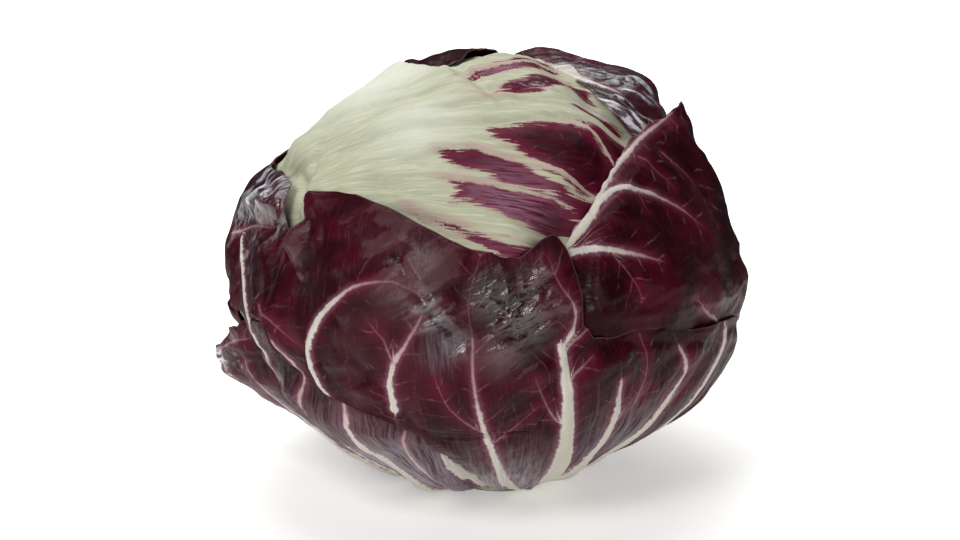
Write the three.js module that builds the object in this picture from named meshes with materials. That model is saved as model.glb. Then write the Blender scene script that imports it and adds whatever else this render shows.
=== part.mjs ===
// A head of red radicchio, the round kind with dark wine-red leaves and cream ribs, as picked and
// trimmed: a cut stem and the leaves that wrap round each other above it. Millimetres, +Z up.
// The origin is the middle of the stem's cut face, which the head rests on.
//
// Every leaf is a thin sheet whose distance from the middle of the head depends only on the
// direction. Directions are an azimuth from +X towards +Y and an elevation above the horizon, in
// degrees. A leaf lies on the round of the head, sunk by one pitch for each leaf that lies over it.

import * as THREE from 'three';
import { mergeVertices } from 'three/addons/utils/BufferGeometryUtils.js';

// The round of the head: half sizes of the two caps, and how square each cap is (2 is an ellipsoid)
const MIDDLE = new THREE.Vector3(-5, 2, 45.5);
const HALF_WIDTH = 58;
const HALF_DEPTH = 56;
const TOP_CAP = { height: 54.5, power: 2.05 };
const BOTTOM_CAP = { height: 49, power: 1.62 };
// The underside is pressed flat just above the surface that the head rests on, where leaves point
// down more steeply than this
const UNDERSIDE_LEVEL = 0.8;
const UNDERSIDE_ROUNDING = 1;
const UNDERSIDE_STEEPNESS = -0.5;
// Swellings and hollows of the round: where, how high and how wide
const SWELLINGS = [
  { at: [160, 42], height: -4.5, spread: 26 },
  { at: [-150, 60], height: -2, spread: 26 },
  { at: [-9, -17], height: 4.4, spread: 27 },
  { at: [10, 50], height: 4.5, spread: 22 },
  { at: [90, 72], height: -1, spread: 28 },
  { at: [20, 66], height: -1.3, spread: 18 },
];

// The stem: a cone that points at the middle of the head, leaning with it
const STEM_RADIUS = 13;
const STEM_EDGE = 0.8;
const STEM_TOP = 39;
const STEM_SHOULDER = 5;
const STEM_SIDES = 32;
const STEM_CLEARANCE = 0.6;

// Leaves that show: sheet thickness, distance from one leaf to the next one in, and how a leaf
// eases out again past the margin of the one over it
const SHEET = 0.7;
const PITCH = 2;
const MARGIN_REACH = 12;
const EASE_OUT = 28;
const GRID_STEP = 12;
const BEARING_STEP = 15;
const CORNER_ROUNDING = [-6, -3, 0, 3, 6];
const MERGE_DISTANCE = 1e-4;

// Leaves of the heart: shells one in the other, each a round outline turned by the golden angle
const HEART_LEAVES = 16;
const HEART_SHEET = 0.5;
const HEART_CLEARANCE = 2.2;
const HEART_SHRINK = 0.052;
const HEART_GRID = 8;
const HEART_SIDE = 72;
const HEART_TIP = 66;
const HEART_CENTRE_ELEVATION = 4;
const GOLDEN_ANGLE = 137.5;

const WINE = { color: '#4a1724', roughness: 0.4, metalness: 0 };
const CREAM = { color: '#bdc1a8', roughness: 0.4, metalness: 0 };
const HEART = { color: '#8c4a5c', roughness: 0.45, metalness: 0 };
const CUT_STEM = { color: '#c3c3a6', roughness: 0.6, metalness: 0 };

// Leaves that show, outermost first. The margin is a loop of directions round the leaf.
const OUTER_LEAVES = [
  {
    name: 'front_leaf',
    look: WINE,
    centre: [-76, -18],
    margin: [
      [-70, -69], [-80, -52], [-94, -34], [-104, -20], [-118, -15], [-130, -11], [-132, 5],
      [-135, 14], [-143, 22], [-140, 30], [-144, 34], [-131, 38], [-116, 35], [-105, 32],
      [-92, 28], [-81, 26], [-75, 28], [-70, 29], [-66, 22], [-65, 13], [-62, 6], [-50, 4],
      [-34, 1], [-12, -3], [4, -12], [8, -32], [-6, -57], [-40, -69],
    ],
  },
  {
    name: 'left_leaf',
    look: WINE,
    centre: [-140, 5],
    margin: [
      [-110, -69], [-142, -56], [-144, -46], [-146, -38], [-147, -28], [-147, -20], [-149, -12],
      [-151, -4], [-157, 1], [-166, 1], [-176, 9], [173, 16], [172, 28], [-178, 32], [-164, 33],
      [-149, 34], [-146, 27], [-144, 22], [-125, 19], [-108, 5], [-94, -20], [-78, -44],
      [-72, -64],
    ],
  },
  {
    name: 'right_leaf',
    look: WINE,
    centre: [-30, 2],
    margin: [
      [-10, -67], [-52, -62], [-68, -32], [-80, -8], [-80, 12], [-74, 21], [-65, 28], [-59, 34],
      [-51, 39], [-43, 43], [-32, 46], [-20, 46], [-8, 45], [4, 43], [9, 39], [8, 30], [8, 18],
      [10, 6], [12, -6], [16, -28], [24, -56],
    ],
  },
  {
    name: 'back_leaf',
    look: WINE,
    centre: [84, -4],
    margin: [
      [84, -68], [36, -62], [24, -30], [30, -5], [38, 22], [58, 38], [86, 45], [114, 42],
      [138, 28], [150, 5], [152, -25], [142, -59], [112, -67],
    ],
  },
  {
    name: 'lower_left_leaf',
    look: WINE,
    centre: [-148, -28],
    margin: [
      [-150, -67], [176, -59], [-174, -42], [-168, -28], [-169, -17], [-171, -11], [-166, -7],
      [-158, -1], [-148, 3], [-134, 2], [-122, -12], [-112, -32], [-112, -55],
    ],
  },
  {
    name: 'back_left_leaf',
    look: WINE,
    centre: [122, 20],
    margin: [
      [140, -67], [-172, -60], [-168, -30], [-166, -5], [178, 8], [161, 26], [146, 40],
      [133, 54], [131, 62], [133, 70], [132, 77], [125, 82], [100, 76], [86, 66], [82, 52],
      [84, 34], [90, 5], [94, -28], [100, -58],
    ],
  },
  {
    name: 'back_right_leaf',
    look: WINE,
    centre: [34, 8],
    margin: [
      [40, -67], [-10, -58], [-12, -28], [-12, 2], [-16, 28], [-20, 42], [-25, 50], [-25, 58],
      [-15, 63], [-6, 69], [4, 72], [27, 73], [64, 69], [82, 52], [86, 30], [80, 0], [76, -34],
      [80, -60],
    ],
  },
  {
    name: 'cap_leaf',
    look: CREAM,
    centre: [-128, 30],
    margin: [
      [-150, -67], [-178, -52], [180, -15], [166, 10], [150, 26], [140, 36], [126, 45],
      [100, 52], [60, 55], [24, 58], [2, 54], [-12, 44], [-36, 32], [-60, 20], [-88, 18],
      [-104, 10], [-108, -12], [-110, -48],
    ],
  },
];

const DEGREE = Math.PI / 180;

function direction([azimuth, elevation]) {
  const a = azimuth * DEGREE;
  const e = elevation * DEGREE;
  return new THREE.Vector3(Math.cos(e) * Math.cos(a), Math.cos(e) * Math.sin(a), Math.sin(e));
}

const TO_STEM = MIDDLE.clone().negate().normalize();
const STEM_HALF_ANGLE = Math.atan(STEM_RADIUS / MIDDLE.z);

function smoothstep(t) {
  return THREE.MathUtils.smoothstep(t, 0, 1);
}

// Distance from the middle to the round of the head: two rounded caps with their swellings, and
// the flat of the underside blended in where it is nearer
function headRadius(d) {
  const cap = d.z > 0 ? TOP_CAP : BOTTOM_CAP;
  const level = Math.hypot(d.x / HALF_WIDTH, d.y / HALF_DEPTH);
  const upright = Math.abs(d.z) / cap.height;
  let radius = (level ** cap.power + upright ** cap.power) ** (-1 / cap.power);
  for (const { at, height, spread } of SWELLINGS) {
    const away = d.angleTo(direction(at)) / DEGREE;
    radius += height * Math.exp(-((away / spread) ** 2));
  }
  if (d.z > UNDERSIDE_STEEPNESS) return radius;
  const flat = (MIDDLE.z - UNDERSIDE_LEVEL) / -d.z;
  return (radius + flat - Math.hypot(radius - flat, UNDERSIDE_ROUNDING)) / 2;
}

// A leaf's own chart: the angle from its centre and the bearing, which is 0 towards the stem
function makeChart(centre) {
  const out = direction(centre);
  const down = TO_STEM.clone().addScaledVector(out, -TO_STEM.dot(out)).normalize();
  const side = new THREE.Vector3().crossVectors(out, down);
  return {
    place(d) {
      const bearing = Math.atan2(d.dot(side), d.dot(down)) / DEGREE;
      return { bearing, away: d.angleTo(out) / DEGREE };
    },
    directionAt(bearing, away) {
      const b = bearing * DEGREE;
      const a = away * DEGREE;
      return out.clone().multiplyScalar(Math.cos(a))
        .addScaledVector(down, Math.sin(a) * Math.cos(b))
        .addScaledVector(side, Math.sin(a) * Math.sin(b));
    },
  };
}

// The margin as a distance for every bearing: straight between its points, its corners rounded
function makeMargin(chart, loop) {
  const points = loop.map((at) => chart.place(direction(at))).sort((p, q) => p.bearing - q.bearing);
  const last = points.length - 1;
  const before = { bearing: points[last].bearing - 360, away: points[last].away };
  const after = { bearing: points[0].bearing + 360, away: points[0].away };
  const ring = [before, ...points, after];
  const straight = (bearing) => {
    const b = THREE.MathUtils.euclideanModulo(bearing + 180, 360) - 180;
    const next = ring.findIndex((p) => p.bearing > b);
    const from = ring[next - 1];
    const to = ring[next];
    const part = (b - from.bearing) / (to.bearing - from.bearing);
    return THREE.MathUtils.lerp(from.away, to.away, part);
  };
  return (bearing) => {
    const sum = CORNER_ROUNDING.reduce((total, turn) => total + straight(bearing + turn), 0);
    return sum / CORNER_ROUNDING.length;
  };
}

// How far a leaf covers a direction: 1 under it and just past its margin, 0 well away from it
function coverage(leaf, d) {
  const { bearing, away } = leaf.chart.place(d);
  const past = away - leaf.margin(bearing);
  return 1 - smoothstep((past - MARGIN_REACH) / EASE_OUT);
}

// Keeps a direction clear of the stem, at a leaf's height over the middle
function clearOfStem(d, height) {
  const least = STEM_HALF_ANGLE + Math.asin(STEM_CLEARANCE / height);
  if (d.angleTo(TO_STEM) >= least) return d;
  const away = d.clone().addScaledVector(TO_STEM, -d.dot(TO_STEM)).normalize();
  return TO_STEM.clone().multiplyScalar(Math.cos(least)).addScaledVector(away, Math.sin(least));
}

// Points of one side of a sheet, on a square grid that is drawn round to the leaf's outline
function sheetPoints(chart, margin, height, depth, cells) {
  const points = [];
  for (let j = 0; j <= cells; j += 1) {
    for (let i = 0; i <= cells; i += 1) {
      const u = (2 * i) / cells - 1;
      const v = (2 * j) / cells - 1;
      const x = u * Math.sqrt(1 - (v * v) / 2);
      const y = v * Math.sqrt(1 - (u * u) / 2);
      const bearing = Math.atan2(y, x) / DEGREE;
      const towards = chart.directionAt(bearing, Math.hypot(x, y) * margin(bearing));
      const d = clearOfStem(towards, height(towards));
      points.push(d.clone().multiplyScalar(height(d) - depth).add(MIDDLE));
    }
  }
  return points;
}

// Faces of the outer side of a grid. The diagonals turn with the quarter of the grid, so that no
// corner of it folds flat.
function gridFaces(cells) {
  const faces = [];
  for (let j = 0; j < cells; j += 1) {
    for (let i = 0; i < cells; i += 1) {
      const a = j * (cells + 1) + i;
      const b = a + 1;
      const c = a + cells + 1;
      const d = c + 1;
      const rising = (2 * i < cells) === (2 * j < cells);
      if (rising) faces.push([a, b, d], [a, d, c]);
      else faces.push([a, b, c], [b, d, c]);
    }
  }
  return faces;
}

// The points along the edge of a grid, in order all the way round
function gridEdge(cells) {
  const row = cells + 1;
  const steps = [...Array(cells).keys()];
  return [
    ...steps,
    ...steps.map((k) => k * row + cells),
    ...steps.map((k) => cells * row + cells - k),
    ...steps.map((k) => (cells - k) * row),
  ];
}

// A closed sheet: its outer side, its inner side turned round, and a strip along the edge
function sheetGeometry(chart, margin, height, thickness, cells) {
  const outside = sheetPoints(chart, margin, height, 0, cells);
  const inside = sheetPoints(chart, margin, height, thickness, cells);
  const layer = outside.length;
  const indices = [];
  for (const [p, q, r] of gridFaces(cells)) {
    indices.push(p, q, r, p + layer, r + layer, q + layer);
  }
  const edge = gridEdge(cells);
  edge.forEach((p, k) => {
    const q = edge[(k + 1) % edge.length];
    indices.push(p, q + layer, q, p, p + layer, q + layer);
  });
  const geometry = new THREE.BufferGeometry().setFromPoints([...outside, ...inside]);
  geometry.setIndex(indices);
  const closed = mergeVertices(geometry, MERGE_DISTANCE);
  closed.computeVertexNormals();
  return closed;
}

function makeMesh(name, geometry, look) {
  const mesh = new THREE.Mesh(geometry, new THREE.MeshStandardMaterial(look));
  mesh.name = name;
  return mesh;
}

const leaves = OUTER_LEAVES.map((leaf) => {
  const chart = makeChart(leaf.centre);
  return { ...leaf, chart, margin: makeMargin(chart, leaf.margin) };
});

// Height of an outer leaf: the round of the head, a pitch lower for each leaf over it
function outerHeight(order, d) {
  const over = leaves.slice(0, order).reduce((sum, leaf) => sum + coverage(leaf, d), 0);
  return headRadius(d) - PITCH * over;
}

function outerLeaf(leaf, order) {
  const bearings = Array.from({ length: 360 / BEARING_STEP }, (_, k) => BEARING_STEP * k);
  const longest = Math.max(...bearings.map(leaf.margin));
  const cells = 2 * Math.round(longest / GRID_STEP);
  const height = (d) => outerHeight(order, d);
  const geometry = sheetGeometry(leaf.chart, leaf.margin, height, SHEET, cells);
  return makeMesh(leaf.name, geometry, leaf.look);
}

function heartLeaf(order) {
  const centre = [order * GOLDEN_ANGLE, HEART_CENTRE_ELEVATION];
  const chart = makeChart(centre);
  const shrink = 1 - HEART_SHRINK * order;
  const toBase = (direction(centre).angleTo(TO_STEM) - STEM_HALF_ANGLE) / DEGREE;
  // An egg-shaped outline: down to the stem, up to a round tip, and as far out on each side
  const margin = (bearing) => {
    const along = Math.cos(bearing * DEGREE);
    const end = along > 0 ? toBase : HEART_TIP;
    return 1 / Math.hypot(along / end, Math.sin(bearing * DEGREE) / HEART_SIDE);
  };
  const height = (d) => (outerHeight(leaves.length, d) - HEART_CLEARANCE) * shrink;
  const geometry = sheetGeometry(chart, margin, height, HEART_SHEET, HEART_GRID);
  const name = `heart_leaf_${String(order + 1).padStart(2, '0')}`;
  return makeMesh(name, geometry, HEART);
}

// The stem: a turned cone with a flat cut face, sheared so that it points at the head's middle
function stem() {
  const radiusAt = (z) => (STEM_RADIUS * (MIDDLE.z - z)) / MIDDLE.z;
  const shoulder = STEM_TOP - STEM_SHOULDER;
  const profile = [
    new THREE.Vector2(0, 0),
    new THREE.Vector2(STEM_RADIUS - STEM_EDGE, 0),
    new THREE.Vector2(radiusAt(STEM_EDGE), STEM_EDGE),
    new THREE.Vector2(radiusAt(shoulder), shoulder),
    new THREE.Vector2(0, STEM_TOP),
  ];
  const geometry = new THREE.LatheGeometry(profile, STEM_SIDES);
  geometry.rotateX(Math.PI / 2);
  const lean = new THREE.Matrix4().set(
    1, 0, MIDDLE.x / MIDDLE.z, 0,
    0, 1, MIDDLE.y / MIDDLE.z, 0,
    0, 0, 1, 0,
    0, 0, 0, 1,
  );
  return makeMesh('stem', geometry.applyMatrix4(lean), CUT_STEM);
}

const radicchio = new THREE.Group();
radicchio.name = 'radicchio_head';
radicchio.add(stem());
leaves.forEach((leaf, order) => radicchio.add(outerLeaf(leaf, order)));
for (let order = 0; order < HEART_LEAVES; order += 1) radicchio.add(heartLeaf(order));

export default radicchio;
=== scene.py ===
import math

import bpy
import numpy as np
from bpy.props import FloatProperty, FloatVectorProperty, IntProperty, PointerProperty
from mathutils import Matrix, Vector


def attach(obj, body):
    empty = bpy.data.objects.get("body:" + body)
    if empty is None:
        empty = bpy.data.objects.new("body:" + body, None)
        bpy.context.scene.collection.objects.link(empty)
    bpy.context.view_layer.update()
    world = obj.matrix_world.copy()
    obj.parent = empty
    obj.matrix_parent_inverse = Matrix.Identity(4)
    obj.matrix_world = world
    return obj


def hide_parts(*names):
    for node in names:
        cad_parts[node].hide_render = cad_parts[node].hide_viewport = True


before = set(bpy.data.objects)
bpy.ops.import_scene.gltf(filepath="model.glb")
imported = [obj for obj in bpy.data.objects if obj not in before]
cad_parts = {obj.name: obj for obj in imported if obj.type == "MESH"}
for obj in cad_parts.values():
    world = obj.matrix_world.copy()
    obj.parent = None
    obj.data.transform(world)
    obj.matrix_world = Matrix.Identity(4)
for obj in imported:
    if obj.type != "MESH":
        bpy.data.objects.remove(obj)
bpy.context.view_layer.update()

bl_info = {
    "name": "Radicchio Head",
    "version": (1, 0, 0),
    "blender": (4, 5, 0),
    "location": "View3D > Sidebar > Radicchio",
    "description": "Builds a round head of red radicchio leaf by leaf, with its studio",
    "category": "Add Mesh",
}

# --- Driving dimensions: millimetres and degrees, as in the construction -------------------------

MM = 0.001
MIDDLE = np.array([-5.0, 2.0, 45.5])
HALF_WIDTH = 58.0
HALF_DEPTH = 56.0
TOP_CAP = (54.5, 2.05)  # height, and how square the cap is (2 is an ellipsoid)
BOTTOM_CAP = (49.0, 1.62)
SWELLINGS = (  # azimuth, elevation, height, spread
    (160, 42, -4.5, 26),
    (-150, 60, -2.0, 26),
    (-9, -17, 4.4, 27),
    (10, 50, 4.5, 22),
    (90, 72, -1.0, 28),
    (20, 66, -1.3, 18),
)
UNDERSIDE_LEVEL = 0.8
UNDERSIDE_SLOPE = -0.5  # upright part of the lowest direction that the flat underside leaves alone
UNDERSIDE_ROUNDING = 1.0
STEM_RADIUS = 13.0
STEM_TOP = 39.0
STEM_CLEARANCE = 0.4
HEART_LEAVES = 16
HEART_CLEARANCE = 2.2
HEART_SHRINK = 0.052
HEART_SIDE = 72.0
HEART_TIP = 66.0
HEART_CENTRE_ELEVATION = 4.0
HEART_SHEET = 0.45
HEART_RADIUS = 40  # turns degrees across a heart leaf into mm
GOLDEN_ANGLE = 137.5
FLAT_RADIUS = 55.0
CAD_PITCH = 2.0
CAD_REACH = (12.0, 28.0)  # a leaf stays pressed this far past the margin over it, then eases out
SHOWN_REACH = (0.8, 9.0)

# --- The leaves that show, outermost first --------------------------------------------------------
# Directions are (azimuth, elevation) seen from the middle of the head; the face towards the camera
# is azimuth -90. A margin is a loop of directions. A rib is a path of them with its width in mm
# where it starts and ends. A fold is a path with its height in mm (a valley is negative) and its
# half width in mm. Crumples, sheens and the spots of painted glint and of painted floor reflection
# are round spots: a direction, how far the spot spreads in degrees and its strength. The sheens
# place a painted dull sheen, the glint spots pale painted highlights on the crumples, and the
# floor reflection spots a painted greyish reflection of the floor low on the outer leaves. A lift
# is a direction with its height in mm and its spread in degrees. The creases are drawn out along
# grain, a vector about 1 long. Facets is the strength of the folds of the whole leaf, which
# fold_seeds draws; tuck is how far in mm the margin bends in; cells is how many grid cells lie
# along the leaf.

STAR = (-82.5, 12.5)  # where the sharp creases of the front leaf meet

FRONT = dict(
    name="front_leaf",
    centre=(-76, -18),
    margin=[
        (-66, -76), (-74, -66), (-83, -60), (-90, -43), (-94.5, -34), (-104.5, -20), (-118, -15),
        (-130, -11), (-132, 5), (-135, 14), (-143, 21), (-144, 23), (-141, 26), (-139.7, 29.6),
        (-141.6, 32), (-145.2, 34.2), (-139.5, 35.7), (-134.8, 37.6), (-131, 37.8), (-105, 32.5),
        (-97, 30), (-92, 28), (-87, 26.5), (-81, 25.5), (-78, 26.5), (-75, 28.5), (-70, 29.5),
        (-67.5, 26), (-65.5, 19), (-65, 14), (-66, 9), (-63.5, 6), (-57, 5), (-34, 1), (-12, -3),
        (4, -12), (8, -32), (-4, -60), (-36, -76),
    ],
    ribs=[
        ([(-128, -12), (-130.5, -4), (-130.5, 2), (-128, 8)], 1.5, 1.7),
        ([(-128, 8), (-125, 12), (-119, 17), (-109, 19.5), (-103, 17)], 1.4, 0.1),
        ([(-110, -12), (-109.5, -4), (-108, 2)], 1.9, 1.0),
        ([(-108, 2), (-105, 7), (-102.5, 12)], 1.0, 0.5),
        ([(-108, 2), (-110, 7), (-113, 10)], 0.6, 0.2),
        ([(-58, -68), (-78, -50), (-84, -32), (-88, -18), (-90, -8)], 3.4, 0.9),
        ([(-90, -8), (-91, 0), (-91, 8)], 0.8, 0.5),
        ([(-44, -70), (-60, -44), (-66, -22), (-69, -8), (-71, 5)], 7.0, 1.8),
        ([(-71, 5), (-68.5, 8), (-67.3, 13), (-70, 18), (-73, 25)], 1.2, 0.1),
        ([(-71, 3), (-68, 6), (-64, 8.5)], 1.0, 0.4),
        ([(-70, -7), (-68, -2), (-64, 1.5)], 0.9, 0.3),
        ([(-68.5, -17), (-72, -13), (-75, -7), (-77, -2)], 0.7, 0.2),
        ([(-36, -68), (-50, -42), (-53, -24), (-54, -14), (-56, -6)], 5.0, 0.9),
        ([(-26, -66), (-37, -40), (-38, -20), (-36, -9), (-39, -2)], 4.0, 0.8),
        ([(-12, -64), (-18, -40), (-22, -22), (-21, -12), (-21, -3)], 3.0, 2.0),
        ([(-49, -14), (-49, -3), (-51, 4)], 0.5, 0.2),
        ([(-91, 8), (-92, 16), (-89, 27)], 0.16, 0.1),
        ([(-86, -22), (-79, -14), (-76, -10)], 0.5, 0.15),
        ([(-88, -18), (-96, -10), (-99, -2)], 0.5, 0.15),
        ([(-54, -24), (-50, -16), (-46, -10)], 0.6, 0.15),
        ([(-39, -22), (-33, -14), (-30, -8)], 0.6, 0.15),
    ],
    folds=[
        ([(-137, 28), (-132, 16), (-129, 6), (-126, -4)], -1.5, 1.4),
        ([(-142, 27), (-138, 18), (-134, 8)], 0.9, 1.6),
        ([(-110, 26), (-104, 18), (-98, 11), (-91, 6)], -1.1, 1.0),
        ([(-107, 25), (-100, 17), (-94, 10)], 0.7, 1.2),
        ([(-92, 8), (-84, 9.5), (-77, 11)], -1.3, 1.0),
        ([(-88, -3), (-81, 1), (-75, 3)], -1.3, 1.0),
        ([(-86, -6), (-80, -2), (-75, 0)], 0.9, 1.3),
        ([(-117, 1), (-112, -6), (-108, -13), (-98, -22)], -1.5, 1.5),
        ([(-91, 27), (-92, 19), (-93, 12)], -0.8, 1.3),
        ([(-79, 26), (-78, 20), (-80, 14)], -0.9, 1.2),
        ([(-75, 24), (-76, 17), (-79, 12)], 0.8, 1.0),
        ([(-125, -10), (-118, -7), (-113, -8)], 0.7, 1.6),
        ([(-104, 6), (-99, 1), (-95, -4)], 0.8, 1.4),
        ([(-68, 5), (-56, 4), (-40, 0), (-24, -5)], -0.9, 2.0),
        ([(-102, -20), (-96, -14), (-90, -20)], 0.5, 3.0),
        ([(-126, 30), (-116, 26), (-108, 28)], 0.6, 1.6),
        ([STAR, (-86, 16), (-92, 19)], 1.0, 0.5),
        ([STAR, (-88, 14.5), (-93.5, 15.5)], 0.9, 0.5),
        ([STAR, (-88, 11.5), (-92.5, 11)], -1.0, 0.5),
        ([STAR, (-86, 19), (-89, 23)], -0.8, 0.5),
        ([STAR, (-83, 19), (-84.5, 24.5)], 1.0, 0.5),
        ([STAR, (-79.5, 17), (-79, 22.5)], 0.9, 0.5),
        ([STAR, (-78, 16), (-75.5, 17.5)], -0.9, 0.5),
        ([STAR, (-90, 9), (-95.5, 6.5)], 1.0, 0.6),
        ([STAR, (-79, 9), (-76, 4)], -0.9, 0.6),
        ([(-71, 12), (-76, 9), (-84, 6), (-92, 4)], 0.9, 0.5),
        ([(-72, 20), (-76, 14), (-78, 7)], -0.8, 0.6),
        ([(-132, 28), (-129, 20), (-127, 11)], -1.4, 1.2),
        ([(-128, 12), (-118, 8), (-108, 12)], -0.6, 1.6),
    ],
    crumples=[
        ((-108, 23), 4, 0.6), ((-102, 17), 4, 1.0), ((-98, 12), 4, 1.1), ((-94, 7), 4, 1.1),
        ((-86, 17), 7, 1.0), ((-80, 12), 8, 1.15), ((-77, 19), 6, 1.0), ((-84, 5), 7, 0.8),
        ((-70, 15), 6, 0.6), ((-120, -4), 9, 0.25), ((-140, 27), 8, 0.4),
    ],
    sheens=[((-120, 28), 12, 0.6), ((-104, 24), 12, 0.8), ((-86, 16), 12, 0.7), ((-137, 16), 9, 1.0),
            ((-110, 4), 14, 0.15), ((-88, -46), 24, 0.6)],
    wax=[((-100, 14), 5, 0.3)],
    grain=(0.86, -0.1, 0.5),
    painted_floor_reflection=[((-84, -54), 20, 1.15), ((-46, -28), 13, 0.6), ((-98, 5), 4, 0.35)],
    lifts=[((-74, 29), 1.3, 6), ((-118, 4), 1.0, 12), ((-141, 18), -1.4, 6),
           ((-103, -20), 0.9, 7), ((-91, -36), 0.9, 8)],
    fold_seeds=(13, 15),
    cells=270,
    tuck=1.0,
)
LEFT = dict(
    name="left_leaf",
    centre=(-140, 5),
    margin=[
        (-110, -71), (-130, -66), (-142, -56), (-142.5, -46), (-146, -38), (-147, -28),
        (-146, -20), (-148, -12), (-151, -4), (-157, 1), (-166, 1), (173, 16), (170, 24),
        (172, 30), (-178, 32), (-164, 33.5), (-153, 34.8), (-148.6, 34), (-144.4, 23), (-141, 20),
        (-134, 19), (-125, 18), (-108, 5), (-94, -20), (-76, -44), (-62, -64),
    ],
    ribs=[
        ([(-166, 16), (-161, 12), (-158, 8.6), (-155.3, 3.4), (-152.2, -0.7), (-150, -4.9)],
         1.6, 1.5),
        ([(-150, -4.9), (-147.5, -10), (-143, -17)], 1.2, 0.3),
        ([(-145, 7), (-140, 6), (-134, 1)], 0.5, 0.2),
        ([(-140, 0), (-139.6, -3), (-137.5, -5.6), (-136.3, -10), (-136.8, -17), (-139, -23)],
         0.9, 0.8),
        ([(-139, -23), (-141, -32), (-138, -50), (-110, -68)], 0.8, 2.4),
        ([(-124, -13), (-123, -24), (-121, -38), (-112, -66)], 0.8, 4.0),
        ([(-109, -19), (-111, -30), (-108, -50), (-96, -68)], 0.7, 1.3),
        ([(-101, -28), (-98, -38), (-90, -54), (-80, -68)], 1.2, 4.2),
        ([(-172, 15), (-160, 21), (-152, 23)], 0.8, 0.4),
        ([(-126, -11), (-119, -4), (-110, -3)], 0.3, 0.3),
        ([(-128, -34), (-133, -26), (-136, -18)], 0.6, 0.2),
    ],
    folds=[
        ([(-172, 24), (-160, 26), (-150, 28)], 1.6, 1.8),
        ([(-170, 20), (-160, 21), (-149, 24)], -1.8, 1.8),
        ([(-176, 30), (-164, 30), (-152, 31)], -1.5, 1.5),
        ([(-160, 16), (-152, 4), (-142, -6)], -0.9, 2.6),
        ([(-146, 16), (-140, 4), (-134, -6)], 0.9, 2.4),
        ([(-152, 18), (-148, 6), (-141, -10), (-134, -18)], 0.7, 2.2),
        ([(-137, -16), (-130, -24), (-122, -30)], 0.9, 3.0),
        ([(-118, -18), (-112, -22), (-106, -24)], 1.0, 2.2),
    ],
    crumples=[((-166, 27), 10, 1.6), ((-153, 29), 7, 1.2), ((-140, -20), 12, 0.3)],
    wax=[((-164, 27), 12, 1.0), ((-152, 30), 7, 1.0)],
    painted_floor_reflection=[((-122, -44), 22, 1.15), ((-146, -14), 8, 0.3)],
    grain=(0.75, 0.2, 0.65),
    sheens=[((-128, -38), 22, 0.8)],
    lifts=[((-172, 31), 2.2, 9), ((-150, 30), 1.0, 6), ((-168, 4), -1.0, 6)],
    cells=220,
    tuck=0.6,
)
RIGHT = dict(
    name="right_leaf",
    centre=(-30, 2),
    margin=[
        (-8, -70), (-50, -66), (-68, -32), (-80, -8), (-80, 12), (-74, 21), (-69, 25), (-59, 34),
        (-51, 39), (-43, 43), (-32, 46), (-8, 45), (4, 42.5), (10, 40), (8, 33), (7, 20), (9, 8),
        (12, -6), (16, -28), (24, -58), (14, -68),
    ],
    ribs=[
        ([(-21, -4), (-24, 0), (-31, 5), (-34, 8)], 1.3, 0.3),
        ([(-70, 26), (-66, 28), (-62, 30.5), (-56, 35), (-50, 37), (-44, 36), (-35, 32), (-25, 22)],
         2.6, 0.2),
        ([(-69, 25), (-62, 25.8), (-53, 23.5), (-43, 19)], 2.2, 0.3),
        ([(-64, 26), (-59, 29), (-55, 30)], 0.5, 0.15),
        ([(-2, 43.4), (-12, 44.8), (-27, 45.3), (-40, 43), (-50, 39.5), (-58, 34)], 0.6, 1.5),
        ([(-34, 42), (-31, 38), (-28, 33)], 0.4, 0.15),
        ([(-43, 36), (-41, 31)], 0.4, 0.15),
        ([(-56, 24), (-52, 18), (-50, 12)], 0.4, 0.12),
        ([(-22, 40), (-16, 30), (-13, 18)], 0.4, 0.12),
    ],
    folds=[
        ([(-66, 28), (-58, 32), (-50, 35), (-40, 38), (-28, 41)], 0.9, 1.6),
        ([(-66, 25), (-58, 29), (-50, 33)], -0.8, 1.5),
        ([(-20, 40), (-14, 26), (-12, 10)], -1.0, 3.0),
        ([(-8, 42), (-6, 28), (-4, 12)], 1.0, 3.0),
        ([(-64, 10), (-48, 8), (-30, 6), (-12, 2)], 1.0, 4.0),
        ([(-30, 30), (-26, 16), (-26, 4)], 0.6, 3.0),
    ],
    crumples=[((-64, 16), 6, 0.4), ((4, 12), 8, 0.3)],
    facets=0.45,
    lifts=[((6, 43), 3.2, 5), ((14, 32), -3.2, 9), ((-50, 38), 0.8, 7)],
    sheens=[((-58, 36), 6, 0.6), ((-44, 44), 6, 0.6)],
    cells=230,
    tuck=0.7,
)
BACK = dict(
    name="back_leaf",
    centre=(84, -4),
    margin=[
        (84, -69), (36, -64), (24, -30), (30, -5), (38, 22), (58, 38), (86, 45), (114, 42),
        (138, 28), (150, 5), (152, -25), (142, -60), (112, -68),
    ],
    ribs=[
        ([(84, -70), (84, -40), (86, -10), (85, 12), (87, 30)], 6.5, 0.8),
        ([(86, -52), (68, -32), (56, -8), (52, 12)], 2.6, 0.4),
        ([(86, -46), (104, -26), (118, -2), (124, 18)], 2.6, 0.4),
        ([(85, -24), (72, -6), (66, 10), (64, 26)], 1.6, 0.3),
        ([(86, -18), (98, 0), (106, 18), (110, 32)], 1.6, 0.3),
        ([(70, -62), (44, -46), (34, -28), (36, -8)], 2.4, 0.4),
        ([(98, -62), (126, -48), (138, -28), (140, -8)], 2.4, 0.4),
        ([(86, 4), (78, 18), (76, 32)], 1.0, 0.2),
        ([(87, 8), (95, 24), (97, 36)], 1.0, 0.2),
    ],
    folds=[
        ([(60, 24), (74, 14), (90, 18)], 0.8, 3.0),
        ([(110, 30), (104, 10), (108, -8)], -0.8, 2.6),
        ([(60, 4), (70, -12), (76, -30)], -0.7, 2.6),
    ],
    crumples=[((80, 26), 16, 0.5), ((120, 20), 14, 0.5)],
    lifts=[],
    cells=160,
    tuck=0.8,
)
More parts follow.
